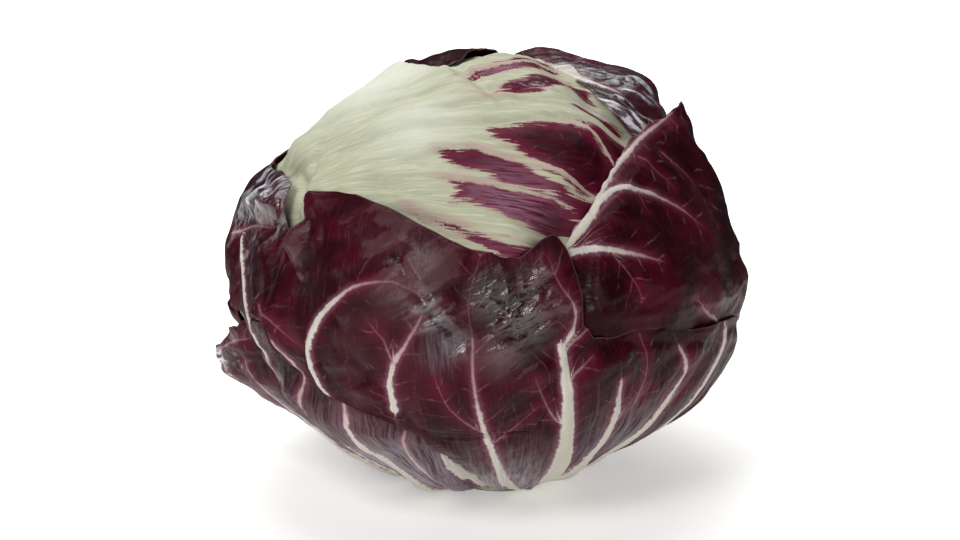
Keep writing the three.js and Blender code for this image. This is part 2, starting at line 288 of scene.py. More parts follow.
LOWER_LEFT = dict(
    name="lower_left_leaf",
    centre=(-148, -28),
    margin=[
        (-150, -68), (176, -60), (-174, -42), (-168, -28), (-168, -19), (-170, -15), (-171, -11),
        (-166, -7), (-158, -1), (-148, 3), (-134, 2), (-122, -12), (-112, -32), (-112, -57),
    ],
    ribs=[
        ([(-148, -66), (-158, -44), (-158, -26), (-160, -12)], 3.0, 0.5),
        ([(-170, -12), (-164, -8), (-156, -5)], 0.7, 0.3),
        ([(-150, -52), (-148, -30), (-150, -14)], 1.8, 0.3),
        ([(-158, -34), (-165, -22), (-167, -12)], 1.0, 0.3),
    ],
    folds=[
        ([(-170, -11), (-162, -9), (-152, -7)], 1.0, 1.2),
        ([(-170, -14), (-162, -12), (-152, -11)], -1.2, 1.2),
        ([(-168, -16), (-160, -16), (-152, -15)], 0.7, 1.6),
        ([(-163, -18), (-157, -26), (-152, -36)], -0.7, 2.0),
    ],
    crumples=[((-168, -10), 5, 0.9), ((-158, -24), 14, 0.3)],
    wax=[((-169, -12), 5.5, 1.4)],
    painted_floor_reflection=[((-146, -46), 20, 0.9)],
    sheens=[((-150, -40), 16, 0.6)],
    grain=(0.9, -0.3, 0.3),
    lifts=[((-169, -14), 5.0, 7), ((-166, -20), 3.0, 10)],
    cells=150,
    tuck=0.2,
)
BACK_LEFT = dict(
    name="back_left_leaf",
    centre=(122, 20),
    margin=[
        (140, -69), (-172, -62), (-168, -30), (-166, -5), (178, 8), (170, 17), (153, 33),
        (146, 40), (131, 54), (152, 77), (150, 80.5), (138, 82.5), (125, 82), (86, 66), (82, 52),
        (84, 34), (90, 5), (94, -28), (100, -60),
    ],
    ribs=[
        ([(140, -70), (146, -36), (150, -8), (152, 20), (150, 44)], 6.0, 0.8),
        ([(148, -26), (164, -4), (170, 16), (172, 32)], 2.4, 0.4),
        ([(147, -34), (128, -10), (118, 12), (112, 34)], 2.4, 0.4),
        ([(151, 4), (162, 24), (164, 42)], 1.6, 0.3),
        ([(150, 0), (136, 22), (128, 44)], 1.6, 0.3),
        ([(152, 26), (148, 46), (138, 62)], 1.0, 0.3),
        ([(154, -52), (176, -30), (-176, -8)], 2.2, 0.4),
    ],
    folds=[
        ([(150, 63), (164, 70), (178, 76)], 0.8, 1.4),
        ([(176, 40), (168, 24), (166, 8)], 0.8, 2.6),
        ([(132, 52), (142, 34), (140, 14)], -0.9, 2.6),
    ],
    crumples=[((165, 72), 12, 0.6), ((-170, 15), 12, 0.6), ((130, 60), 12, 0.5)],
    wax=[((172, 78), 6, 0.6)],
    lifts=[((170, 76), -2.3, 12), ((178, -2), -1.9, 10)],
    cells=160,
    tuck=0.3,
)
BACK_RIGHT = dict(
    name="back_right_leaf",
    centre=(34, 8),
    margin=[
        (40, -69), (-10, -60), (-12, -28), (-12, 2), (-16, 28), (-24, 49), (-26, 54), (-25, 58),
        (-19, 60.5), (-15, 63), (-12, 66), (-6, 69.5), (4, 72), (27, 73.5), (64, 69), (82, 52),
        (86, 30), (80, 0), (76, -34), (80, -61),
    ],
    ribs=[
        ([(40, -70), (36, -36), (34, -8), (30, 20), (20, 44)], 6.0, 0.8),
        ([(40, 71), (20, 71), (3, 68.6)], 1.6, 3.4),
        ([(3, 68.6), (-5, 65.5), (-10, 61), (-11, 56)], 3.4, 0.8),
        ([(35, -24), (18, -6), (8, 14), (2, 34)], 2.4, 0.4),
        ([(36, -32), (54, -10), (62, 12), (62, 34)], 2.4, 0.4),
        ([(33, 4), (20, 24), (6, 42)], 1.6, 0.3),
        ([(33, 0), (46, 22), (48, 44)], 1.6, 0.3),
        ([(28, 26), (34, 46), (36, 60)], 1.0, 0.3),
    ],
    folds=[
        ([(-13, 65), (-6, 60), (0, 52), (4, 44)], 0.9, 1.0),
        ([(-20, 58), (-13, 53), (-6, 46)], 0.9, 1.0),
        ([(0, 66), (6, 58), (10, 50)], 0.7, 1.2),
        ([(-22, 52), (-14, 46), (-8, 40)], 0.8, 1.0),
        ([(4, 36), (14, 20), (12, 4)], 1.0, 2.6),
    ],
    crumples=[((-10, 54), 14, 1.1), ((8, 60), 14, 0.9), ((8, 30), 12, 0.8), ((12, 10), 12, 0.6)],
    wax=[((-16, 56), 11, 1.3), ((0, 68), 12, 0.9), ((-22, 50), 6, 1.2)],
    grain=(0.8, -0.1, -0.6),
    lifts=[((-22, 56), 0.3, 9), ((14, 34), -4.0, 11), ((14, 68), -1.7, 13)],
    cells=200,
    tuck=0.7,
)
CAP = dict(
    name="cap_leaf",
    centre=(-128, 30),
    margin=[
        (-150, -69), (-178, -54), (180, -15), (166, 10), (150, 26), (140, 36), (126, 45),
        (100, 52), (60, 55), (24, 58), (2, 54), (-12, 44), (-36, 32), (-60, 20), (-88, 18),
        (-104, 10), (-110, -48),
    ],
    ribs=[
        ([(-160, -10), (-172, 20), (-172, 48), (-150, 66), (-97, 77), (-40, 76), (-16, 64)],
         12.0, 1.0),
        ([(-158, -10), (-168, 30), (-147, 49), (-118, 60), (-79, 62), (-51, 58.5), (-28, 46)],
         12.0, 1.5),
        ([(-150, 0), (-154, 35), (-124, 47), (-97, 54), (-79, 50), (-64, 44), (-54, 37)],
         10.0, 0.7),
        ([(-148, 0), (-147, 35), (-121, 44), (-99, 45), (-77, 41), (-65, 37)], 9.0, 0.3),
        ([(-144, 0), (-143, 34), (-116, 38), (-95, 35), (-79, 31), (-67, 27), (-60, 27)], 9.0, 1.2),
        ([(-54, 57), (-47, 52.5), (-44.5, 49), (-43.5, 45), (-43, 41)], 1.5, 1.0),
        ([(-106, 35), (-96, 31), (-88, 28)], 1.2, 0.6),
        ([(-120, 64), (-94, 69), (-55, 66), (-30, 57)], 5.0, 0.6),
        ([(-170, 60), (-120, 82), (-45, 83), (-5, 71), (-8, 60)], 5.0, 1.0),
    ],
    folds=[
        ([(-165, 42), (-140, 57), (-110, 66), (-70, 68)], 0.9, 2.2),
        ([(-160, 36), (-135, 50), (-110, 56), (-80, 58)], -0.7, 2.0),
        ([(-45, 66), (-25, 62), (-12, 56)], 1.0, 1.8),
        ([(-60, 70), (-30, 68), (-10, 62)], -0.8, 1.8),
        ([(-60, 60), (-42, 55), (-28, 48)], 0.6, 2.2),
    ],
    crumples=[((-26, 58), 8, 0.5), ((10, 74), 14, 0.3)],
    wax=[((-30, 61), 7, 1.0), ((-50, 66), 6, 0.6)],
    grain=(0.85, -0.1, -0.5),
    facets=0.5,
    lifts=[],
    cells=270,
    tuck=0.5,
)
SHOWN_LEAVES = (FRONT, LEFT, RIGHT, BACK, LOWER_LEFT, BACK_LEFT, BACK_RIGHT, CAP)

# --- Surfaces --------------------------------------------------------------------------------------


def direction(azimuth, elevation):
    """Unit vectors from the middle: cos e cos a, cos e sin a, sin e."""
    a, e = np.radians(azimuth), np.radians(elevation)
    return np.stack([np.cos(e) * np.cos(a), np.cos(e) * np.sin(a), np.sin(e)], axis=-1)


def angle_between(d, towards):
    """Angle in degrees from every direction to one direction."""
    return np.degrees(np.arccos(np.clip(d @ towards, -1, 1)))


def bell(d, at, spread):
    """1 in one direction, and 1/e where it is the spread away in degrees."""
    return np.exp(-((angle_between(d, direction(*at)) / spread) ** 2))


def smoothstep(t):
    """0 below 0, 1 above 1, and 3t^2 - 2t^3 between."""
    t = np.clip(t, 0, 1)
    return t * t * (3 - 2 * t)


RIB_FADE = 0.8  # past a rib's end its side veins fade over this many mm
CORNER = 1.5  # a margin's corners are rounded over this bearing to each side
COARSE_FRAY = (0.45, 0.25)  # height in degrees, and length as a share of the loop's radius
FINE_FRAY = (0.2, 0.07)
TO_STEM = -MIDDLE / np.linalg.norm(MIDDLE)
STEM_HALF_ANGLE = math.degrees(math.atan(STEM_RADIUS / MIDDLE[2]))


def head_radius(d):
    """Distance from the middle to the round of the head.

    A superellipsoid of two caps: (level^p + upright^p)^(-1/p), plus a bell for each swelling. Low
    down, the nearer of that and the flat underside, blended.
    """
    low = d[..., 2] < 0
    height = np.where(low, BOTTOM_CAP[0], TOP_CAP[0])
    power = np.where(low, BOTTOM_CAP[1], TOP_CAP[1])
    level = np.hypot(d[..., 0] / HALF_WIDTH, d[..., 1] / HALF_DEPTH)
    radius = (level**power + (np.abs(d[..., 2]) / height) ** power) ** (-1 / power)
    for azimuth, elevation, swell, spread in SWELLINGS:
        radius = radius + swell * bell(d, (azimuth, elevation), spread)
    steep = np.minimum(d[..., 2], UNDERSIDE_SLOPE)
    flat = (MIDDLE[2] - UNDERSIDE_LEVEL) / -steep
    pressed = (radius + flat - np.hypot(radius - flat, UNDERSIDE_ROUNDING)) / 2
    return np.where(d[..., 2] < UNDERSIDE_SLOPE, pressed, radius)


def random_heading(rng):
    """A unit vector in a random direction."""
    heading = rng.normal(size=3)
    return heading / np.linalg.norm(heading)


def waves(points, length, seed, count=26):
    """Smooth noise of about -1 to 1: a sum of sine waves in random directions, near one length."""
    rng = np.random.default_rng(seed)
    total = np.zeros(points.shape[:-1])
    for _ in range(count):
        heading = random_heading(rng)
        pace = 2 * np.pi / (length * rng.uniform(0.75, 1.35))
        total += np.sin(points @ heading * pace + rng.uniform(0, 2 * np.pi))
    return total / math.sqrt(count)


def crumpled(points, length, seed, count=5):
    """Crumpled skin, about -1 to 1: straight folds in random directions, each bent a little."""
    rng = np.random.default_rng(seed)
    bends = [waves(points, 2.5 * length, seed + axis, 9) for axis in (50, 51, 52)]
    bent = points + 0.3 * length * np.stack(bends, axis=-1)
    total = np.zeros(points.shape[:-1])
    for _ in range(count):
        heading = random_heading(rng)
        turns = bent @ heading / (length * rng.uniform(0.9, 2.0)) + rng.uniform()
        total += 4 * np.abs(turns - np.round(turns)) - 1
    return total / math.sqrt(count)


def path_on_head(path, step=2.5):
    """A smooth path on the round of the head, in mm: a Catmull-Rom curve through directions."""
    knots = direction(*np.array(path, float).T)
    ends = np.vstack([2 * knots[0] - knots[1], knots, 2 * knots[-1] - knots[-2]])
    pieces = []
    for k in range(len(knots) - 1):
        p0, p1, p2, p3 = ends[k : k + 4]
        count = max(2, int(math.degrees(math.acos(np.clip(p1 @ p2, -1, 1))) / step) + 1)
        t = np.linspace(0, 1, count, endpoint=k == len(knots) - 2)[:, None]
        turned = (p2 - p0) * t + (2 * p0 - 5 * p1 + 4 * p2 - p3) * t**2
        pieces.append(p1 + 0.5 * (turned + (3 * p1 - p0 - 3 * p2 + p3) * t**3))
    d = np.vstack(pieces)
    d /= np.linalg.norm(d, axis=1, keepdims=True)
    return MIDDLE + head_radius(d)[:, None] * d


def no_path(shape):
    """What near_path says where no path is near."""
    far = {"inside": -1e3, "half": 0.2, "side": 1e3, "along": 0.0, "beside": 0.0}
    return {key: np.full(shape, value) for key, value in far.items()}


def nearer(near, here):
    """Of two paths, at each point the one that it lies further inside."""
    closer = here["inside"] > near["inside"]
    return {key: np.where(closer, here[key], near[key]) for key in near}


def near_path(points, path, start, end):
    """How each point in mm lies beside a path: a dictionary of grids.

    inside: distance in mm to the path's edge, positive inside it. half: its half width there. side:
    distance to its middle line, positive on its left. along: distance from its start. beside: 1
    beside the path and 0 beyond its end.
    """
    knots = path_on_head(path)
    halves = np.linspace(start, end, len(knots)) / 2
    near = no_path(points.shape[:-1])
    walked = 0.0
    for k in range(len(knots) - 1):
        a, b, wide, narrow = knots[k], knots[k + 1], halves[k], halves[k + 1]
        step = b - a
        length = np.linalg.norm(step)
        share = (points - a) @ step / length**2
        t = np.clip(share, 0, 1)
        half = wide + (narrow - wide) * t
        offset = points - a - t[..., None] * step
        away = np.linalg.norm(offset, axis=-1)
        left = np.cross(a - MIDDLE, step)
        here = {
            "inside": half - away,
            "half": half,
            "side": np.where(offset @ left < 0, -away, away),
            "along": walked + t * length,
            "beside": 1 - smoothstep((share - 1) * length / RIB_FADE) * (k == len(knots) - 2),
        }
        near = nearer(near, here)
        walked += length
    return near


def inside_outline(points, outline, centre):
    """Distance in mm inside a closed outline of directions, negative outside it.

    Points and outline are laid flat round a centre: angle from it times the head's radius.
    """
    out = direction(*centre)
    right = np.cross([0, 0, 1], out)
    right /= np.linalg.norm(right)
    up = np.cross(out, right)

    def flat(d):
        angle = np.arccos(np.clip(d @ out, -1, 1))
        x, y = d @ right, d @ up
        scale = FLAT_RADIUS * angle / np.maximum(np.hypot(x, y), 1e-9)
        return np.stack([x * scale, y * scale], axis=-1)

    p = flat(points)
    corners = flat(direction(*np.array(outline, float).T))
    nearest = np.full(p.shape[:-1], 1e3)
    crossings = np.zeros(p.shape[:-1], bool)
    for a, b in zip(corners, np.roll(corners, -1, axis=0)):
        step = b - a
        t = np.clip((p - a) @ step / (step @ step), 0, 1)
        nearest = np.minimum(nearest, np.linalg.norm(p - a - t[..., None] * step, axis=-1))
        between = (p[..., 1] < a[1]) != (p[..., 1] < b[1])
        x = a[0] + (p[..., 1] - a[1]) * step[0] / (step[1] if abs(step[1]) > 1e-9 else 1e-9)
        crossings ^= between & (p[..., 0] < x)
    return np.where(crossings, nearest, -nearest)


class Leaf:
    """A leaf's own chart: the angle from its centre, and the bearing, which is 0 to the stem."""

    def __init__(self, order, data):
        self.order = order
        self.name = data["name"]
        self.data = data
        self.out = direction(*data["centre"])
        down = TO_STEM - self.out * (TO_STEM @ self.out)
        self.down = down / np.linalg.norm(down)
        self.side = np.cross(self.out, self.down)
        bearing, away = self.place(direction(*np.array(data["margin"], float).T))
        turn = np.argsort(bearing)
        self.loop = bearing[turn], away[turn]

    def place(self, d):
        """Bearing and angle from the centre of each direction, in degrees."""
        bearing = np.degrees(np.arctan2(d @ self.side, d @ self.down))
        return bearing, angle_between(d, self.out)

    def at(self, bearing, away):
        """The direction at a bearing and an angle from the centre."""
        b, a = np.radians(bearing)[..., None], np.radians(away)[..., None]
        return np.cos(a) * self.out + np.sin(a) * (np.cos(b) * self.down + np.sin(b) * self.side)

    def outline(self, bearing):
        """Angle from the centre to the margin: straight between its points, corners rounded."""
        turns = np.linspace(-CORNER, CORNER, 5)
        return sum(np.interp(bearing + turn, *self.loop, period=360) for turn in turns) / len(turns)

    def steepness(self, bearing, away):
        """Length of the margin for each step round it: 1 where it runs square to its radius."""
        rise = (self.outline(bearing + 2) - self.outline(bearing - 2)) / 4
        return np.hypot(1, rise / np.maximum(np.sin(np.radians(away)), 0.2))

    def margin(self, bearing):
        """Angle from the centre to the frayed margin."""
        plain = self.outline(bearing)
        ring = np.stack([np.cos(np.radians(bearing)), np.sin(np.radians(bearing))], axis=-1)
        frayed = np.stack([ring[..., 0], ring[..., 1], np.full_like(bearing, self.order)], axis=-1)
        seeds = (40 + self.order, 60)
        fray = sum(
            height * waves(frayed, length, seed)
            for (height, length), seed in zip((COARSE_FRAY, FINE_FRAY), seeds)
        )
        return plain + fray / self.steepness(bearing, plain)

    def coverage(self, d, reach):
        """1 under the leaf and a little past its margin, easing to 0 further out."""
        bearing, away = self.place(d)
        past = (away - self.outline(bearing)) / self.steepness(bearing, away)
        return 1 - smoothstep((past - reach[0]) / reach[1])


LEAVES = [Leaf(order, data) for order, data in enumerate(SHOWN_LEAVES)]


def leaf_level(order, d, pitch, reach):
    """Height over the middle: the round of the head, less a pitch for every leaf lying over."""
    return head_radius(d) - pitch * sum(leaf.coverage(d, reach) for leaf in LEAVES[:order])


def clear_of_stem(d, height):
    """Opens the leaves round the stem: a direction inside its cone moves out to the cone's side."""
    least = np.radians(STEM_HALF_ANGLE) + np.arcsin(STEM_CLEARANCE / height)
    beside = d - TO_STEM * (d @ TO_STEM)[..., None]
    beside /= np.maximum(np.linalg.norm(beside, axis=-1, keepdims=True), 1e-9)
    moved = np.cos(least)[..., None] * TO_STEM + np.sin(least)[..., None] * beside
    inside = np.radians(angle_between(d, TO_STEM)) < least
    return np.where(inside[..., None], moved, d)


def disc_grid(cells):
    """A square grid drawn round: x = u sqrt(1 - v^2/2), y = v sqrt(1 - u^2/2).

    Gives each point's bearing in degrees and its share of the way out to the margin.
    """
    v, u = np.meshgrid(np.linspace(-1, 1, cells + 1), np.linspace(-1, 1, cells + 1), indexing="ij")
    x, y = u * np.sqrt(1 - v * v / 2), v * np.sqrt(1 - u * u / 2)
    return np.degrees(np.arctan2(y, x)), np.hypot(x, y)


def grid_index(cells, first):
    """Numbers of a grid's points, row by row."""
    return first + np.arange((cells + 1) ** 2).reshape(cells + 1, cells + 1)


def grid_quads(cells, first=0, inward=False):
    """Corner numbers of a grid's faces, as rows of four."""
    index = grid_index(cells, first)
    quads = np.stack([index[:-1, :-1], index[:-1, 1:], index[1:, 1:], index[1:, :-1]], axis=-1)
    quads = quads.reshape(-1, 4)
    return quads[:, ::-1] if inward else quads


def grid_edge(cells, first=0):
    """Point numbers along a grid's edge, all the way round."""
    index = grid_index(cells, first)
    sides = [index[0, :-1], index[:-1, -1], index[-1, :0:-1], index[:0:-1, 0]]
    return np.concatenate(sides)


def sheet_faces(cells):
    """Faces of a closed sheet: a fine outer grid, an inner one at half the count, and the rim."""
    half = cells // 2
    first = (cells + 1) ** 2
    outer, inner = grid_edge(cells), grid_edge(half, first)
    p0, p1, p2 = outer[::2], outer[1::2], np.roll(outer[::2], -1)
    q0, q1 = inner, np.roll(inner, -1)
    rim = np.concatenate([
        np.stack(corners, axis=-1) for corners in ((p0, q0, p1), (p1, q0, q1), (p1, q1, p2))
    ])
    return grid_quads(cells).tolist() + grid_quads(half, first, True).tolist() + rim.tolist()


def make_piece(name, points, faces, material, attributes=None):
    """A smooth mesh object from points in mm, with its point attributes and material."""
    mesh = bpy.data.meshes.new(name)
    mesh.from_pydata((points * MM).tolist(), [], faces)
    for key, values in (attributes or {}).items():
        kind, field = ("FLOAT_VECTOR", "vector") if values.ndim == 2 else ("FLOAT", "value")
        layer = mesh.attributes.new(key, kind, "POINT")
        layer.data.foreach_set(field, values.astype(np.float32).ravel())
    mesh.polygons.foreach_set("use_smooth", np.ones(len(mesh.polygons), bool))
    mesh.materials.append(material)
    piece = bpy.data.objects.new(name, mesh)
    bpy.context.scene.collection.objects.link(piece)
    return piece


def closed_sheet(name, outside, thickness, material, attributes, base=None):
    """A leaf from its outer points on a grid: the inner side lies its thickness nearer the middle.

    base is the grid that the inner side is measured from, where ribs raise only the outside.
    """
    cells = outside.shape[0] - 1
    base = outside if base is None else base
    inward = base - MIDDLE
    inward /= np.linalg.norm(inward, axis=-1, keepdims=True)
    inside = (base - inward * thickness[..., None])[::2, ::2]
    points = np.vstack([outside.reshape(-1, 3), inside.reshape(-1, 3)])
    values = {
        key: np.concatenate([a.reshape(-1, *a.shape[2:]), a[::2, ::2].reshape(-1, *a.shape[2:])])
        for key, a in attributes.items()
    }
    return make_piece(name, points, sheet_faces(cells), material, values)


# --- Nodes and colours -----------------------------------------------------------------------------


def linear(hex_colour):
    """An sRGB hex colour as linear RGBA."""
    parts = [int(hex_colour[k : k + 2], 16) / 255 for k in (1, 3, 5)]
    return [p / 12.92 if p <= 0.04045 else ((p + 0.055) / 1.055) ** 2.4 for p in parts] + [1.0]


def add_node(tree, kind, inputs=None, **settings):
    """Adds a node, sets its properties, and links or fills its inputs."""
    node = tree.nodes.new(kind)
    for key, value in settings.items():
        setattr(node, key, value)
    for key, value in (inputs or {}).items():
        if isinstance(value, bpy.types.NodeSocket):
            tree.links.new(value, node.inputs[key])
        else:
            node.inputs[key].default_value = value
    return node


def attribute(tree, name):
    """The value of a point attribute."""
    return add_node(tree, "ShaderNodeAttribute", attribute_name=name).outputs["Fac"]


def noise(tree, size_mm, detail=3.0, vector=None, rough=0.55):
    """Noise from 0 to 1 whose features are about that many millimetres across."""
    if vector is None:
        vector = add_node(tree, "ShaderNodeTexCoord").outputs["Object"]
    inputs = {"Vector": vector, "Scale": 1 / (size_mm * MM), "Detail": detail, "Roughness": rough}
    return add_node(tree, "ShaderNodeTexNoise", inputs).outputs["Fac"]


def ramp(tree, value, low, high, to_low=0.0, to_high=1.0):
    """A value between two bounds, smoothly mapped to two others."""
    inputs = {"Value": value, "From Min": low, "From Max": high, "To Min": to_low, "To Max": to_high}
    mapped = add_node(tree, "ShaderNodeMapRange", inputs, interpolation_type="SMOOTHSTEP")
    return mapped.outputs["Result"]


def maths(tree, operation, *values):
    """One step of arithmetic."""
    inputs = dict(enumerate(values))
    return add_node(tree, "ShaderNodeMath", inputs, operation=operation).outputs[0]


def product(tree, value, *factors):
    """Several values multiplied together."""
    for factor in factors:
        value = maths(tree, "MULTIPLY", value, factor)
    return value


def scaled(tree, value, factor, plus):
    """value * factor + plus."""
    return maths(tree, "MULTIPLY_ADD", value, factor, plus)


def layered(tree, colour, *layers):
    """A colour with others laid over it, each by a share from 0 to 1."""
    for share, over in layers:
        inputs = {"Factor": share, 6: colour, 7: over}
        colour = add_node(tree, "ShaderNodeMix", inputs, data_type="RGBA").outputs[2]
    return colour


def new_material(name):
    """An empty node material with its output; gives the material and its tree."""
    material = bpy.data.materials.new(name)
    material.use_nodes = True
    material.node_tree.nodes.clear()
    return material, material.node_tree


def finish_surface(tree, colour, roughness, height, distance_mm, specular):
    """A glossy plant skin over the colour, with its fine relief."""
    relief = {"Height": height, "Distance": distance_mm * MM, "Strength": 1.0}
    surface = add_node(tree, "ShaderNodeBsdfPrincipled", {
        "Base Color": colour,
        "Roughness": roughness,
        "Specular IOR Level": specular,
        "Normal": add_node(tree, "ShaderNodeBump", relief).outputs["Normal"],
    })
    add_node(tree, "ShaderNodeOutputMaterial", {"Surface": surface.outputs[0]})


MOTTLE, SPECKLE, GRIT, PITS = 13, 2.2, 0.7, 0.9  # mm across
FIBRE_ACROSS = 0.001  # the fibres' own scale: metres for each degree round the base of the leaf
FIBRE_ALONG = 0.00007  # and for each degree out from it, so they are long and thin
VEINLET_SPACING = 5.2  # mm
VEINLET_SLANT = -0.8
CREASED_CELL = 1.8  # mm
SKIN_RELIEF = 0.06  # mm
CUT_RELIEF = 0.25


def leaf_skin(name, colours, cream):
    """Living radicchio leaf: a thin waxy skin over coloured cells, so dark but glossy.

    Wine blades with dusty pink veins; broad ribs are cream. On a cream leaf the fan of ribs is
    streaked along its fibres, and the wine shows in feathered patches between the ribs.
    """
    material, tree = new_material(name)
    inside_rib, half, edge, crumple, sheen = (
        attribute(tree, key) for key in ("inside_rib", "rib_half", "edge", "crumple", "sheen")
    )
    mottle = noise(tree, MOTTLE, 4)
    speckle = noise(tree, SPECKLE, 4, rough=0.65)
    grit = noise(tree, GRIT, 2)
    # Fibres: noise drawn out along lines that run from the base of the leaf
    fan = add_node(tree, "ShaderNodeCombineXYZ", {
        "X": product(tree, attribute(tree, "fan_turn"), FIBRE_ACROSS),
        "Y": product(tree, attribute(tree, "fan_reach"), FIBRE_ALONG),
    }).outputs[0]
    streak = noise(tree, 1.6, 3, fan)
    fine_streak = noise(tree, 0.5, 2, fan)
    # Side veins: thin lines that leave a rib at a slant every few millimetres
    middle = maths(tree, "ABSOLUTE", attribute(tree, "rib_side"))
    slant = scaled(tree, middle, VEINLET_SLANT, attribute(tree, "rib_along"))
    slant = scaled(tree, mottle, 5.0, slant)
    veinlet = ramp(tree, maths(tree, "PINGPONG", slant, VEINLET_SPACING / 2), 0.08, 0.4, 1, 0)
    near_rib = ramp(tree, middle, 8.0, 1.0)
    broken = ramp(tree, speckle, 0.4, 0.65)
    veinlet = product(tree, veinlet, near_rib, broken, attribute(tree, "beside"), 0.22)
    # Painted sheen: a dull greyish highlight painted on the ridges of the folds and along the fibres,
    # where the sheen spots lie, and less of it in the crumples
    facet = scaled(tree, speckle, 0.8, attribute(tree, "facet"))
    ridges, fibres = ramp(tree, facet, 0.25, 0.5), ramp(tree, fine_streak, 0.56, 0.72, 0, 0.5)
    sheen_pattern = maths(tree, "MAXIMUM", ridges, fibres)
    bloom = product(tree, sheen, sheen_pattern, ramp(tree, crumple, 0.3, 1.1, 1.0, 0.45))
    # Painted reflection: the greyish reflection of the floor on the lower leaves, painted in lilac
    # grey and combed thin along their fibres
    thin, broad = ramp(tree, fine_streak, 0.35, 0.65, 0, 0.7), ramp(tree, streak, 0.4, 0.65, 0, 0.5)
    painted_floor_reflection = product(tree, maths(tree, "ADD", thin, broad), attribute(tree, "painted_floor_reflection"))
    wine = layered(
        tree, colours["dark"],
        (ramp(tree, mottle, 0.36, 0.64), colours["wine"]),
        (ramp(tree, fine_streak, 0.5, 0.75, 0, 0.35), colours["magenta"]),
        (ramp(tree, inside_rib, -3.0, 0.0, 0, 0.5), colours["magenta"]),
        (veinlet, colours["pink"]),
        # Painted shade: the darkest wine laid into the valleys of the folds
        (ramp(tree, facet, 0.2, -0.5, 0, 0.7), colours["dark"]),
        # The painted dull sheen, then the painted reflection of the floor low on the leaves
        (bloom, colours["bloom"]),
        (painted_floor_reflection, colours["painted_floor_reflection"]),
    )
    # Veins: solid inside a rib, with a worn edge
    within = maths(tree, "SUBTRACT", half, middle)
    worn = scaled(tree, noise(tree, 1.5, 3), 1.6, scaled(tree, grit, 0.8, -1.25))
    frayed = scaled(tree, worn, ramp(tree, half, 0.0, 0.8, 0.12, 0.7), within)
    vein = product(
        tree, ramp(tree, frayed, -0.25, 0.3), ramp(tree, inside_rib, -1.2, -0.5),
        ramp(tree, half, 0.04, 0.55, 0.2, 1.0),
    )
    # Creases: cells with sharp edges, drawn out along the grain and deeper in the crumples
    drawn = add_node(tree, "ShaderNodeAttribute", attribute_name="drawn").outputs["Vector"]
    cells = {"Vector": drawn, "Scale": 1 / (CREASED_CELL * MM)}
    cells = add_node(tree, "ShaderNodeTexVoronoi", cells, feature="DISTANCE_TO_EDGE")
    pits = noise(tree, PITS, 3, drawn)
    wrinkle = scaled(tree, cells.outputs["Distance"], 1.1, pits)
    depth = scaled(tree, crumple, 5.0, 0.8)
    if cream:
        ribs = layered(
            tree, colours["cream"],
            (ramp(tree, streak, 0.3, 0.7, 0, 0.7), colours["green"]),
            (ramp(tree, fine_streak, 0.45, 0.75, 0, 0.5), colours["white"]),
            # Painted highlight: the ribs whitened high on the cap, where the light falls
            (ramp(tree, attribute(tree, "painted_highlight"), 0.1, 0.9), colours["white"]),
        )
        ragged = 0.0
        for pattern, size in ((streak, 4.4), (fine_streak, 5.0), (grit, 1.0)):
            ragged = scaled(tree, pattern, size, maths(tree, "SUBTRACT", ragged, size / 2))
        shown = maths(tree, "ADD", attribute(tree, "patch"), ragged)
        pale = product(tree, attribute(tree, "pale"), ramp(tree, fine_streak, 0.3, 0.62))
        patch_wine = layered(
            tree, colours["magenta"],
            (ramp(tree, shown, 0.4, 4.0), wine),
            (pale, colours["mauve"]),
        )
        between_veins = maths(tree, "SUBTRACT", 1.0, vein)
        colour = layered(
            tree, ribs,
            (ramp(tree, shown, -1.2, 0.1, 0, 0.5), colours["pink"]),
            (product(tree, ramp(tree, shown, -0.3, 0.5), between_veins), patch_wine),
        )
        relief = scaled(tree, streak, 0.8, product(tree, fine_streak, 0.3))
        smoothest = 0.38
    else:
        core = scaled(tree, fine_streak, 2.0, maths(tree, "SUBTRACT", within, 1.2))
        cored = layered(
            tree, colours["rib"], (ramp(tree, core, -0.2, 0.8, 0, 0.6), colours["cream"]),
        )
        ribs = layered(tree, colours["pink"], (ramp(tree, half, 0.2, 0.75), cored))
        halo = product(tree, ramp(tree, frayed, -1.3, 0.0, 0, 0.4), ramp(tree, half, 0.1, 0.6))
        colour = layered(tree, wine, (halo, colours["mauve"]), (vein, ribs))
        relief = scaled(tree, fine_streak, 0.8, scaled(tree, speckle, 0.8, grit))
        smoothest = 0.36
    # Painted glints: pale highlights painted bright along the ridges of the crumples
    wax = product(
        tree, attribute(tree, "wax"), ramp(tree, speckle, 0.25, 0.6, 0.3, 1.0),
        ramp(tree, pits, 0.44, 0.55, 0.05, 1.0),
    )
    # Painted highlight: a faint pale pink line along each margin, as an edge catching the light
    rim = ramp(tree, edge, 0.0, 0.35, 0.15, 0.0)
    colour = layered(tree, colour, (wax, colours["wax"]), (rim, colours["pink"]))
    relief = scaled(tree, wrinkle, depth, relief)
    roughness = ramp(tree, speckle, 0.3, 0.7, smoothest, 0.5)
    roughness = maths(tree, "SUBTRACT", roughness, product(tree, crumple, 0.15))
    gloss = maths(tree, "MAXIMUM", crumple, product(tree, sheen, 0.55))
    gloss = ramp(tree, gloss, 0.08, 1.2, 0.08, 1.0)
    finish_surface(tree, colour, roughness, relief, SKIN_RELIEF, gloss)
    return material


def cut_stem():
    """Cut chicory stem: wet cream pith that browns where it was cut, in rings of fibres."""
    material, tree = new_material("cut chicory stem")
    blotch = noise(tree, 5, 4)
    fibre = noise(tree, 0.8, 3)
    colour = layered(
        tree, linear("#cfceb4"),
        (ramp(tree, blotch, 0.4, 0.7), linear("#b08f63")),
        (ramp(tree, fibre, 0.5, 0.8, 0, 0.5), linear("#8a6a45")),
    )
    roughness = ramp(tree, blotch, 0.3, 0.7, 0.5, 0.75)
    finish_surface(tree, colour, roughness, fibre, CUT_RELIEF, 0.4)
    return material


# --- Settings --------------------------------------------------------------------------------------


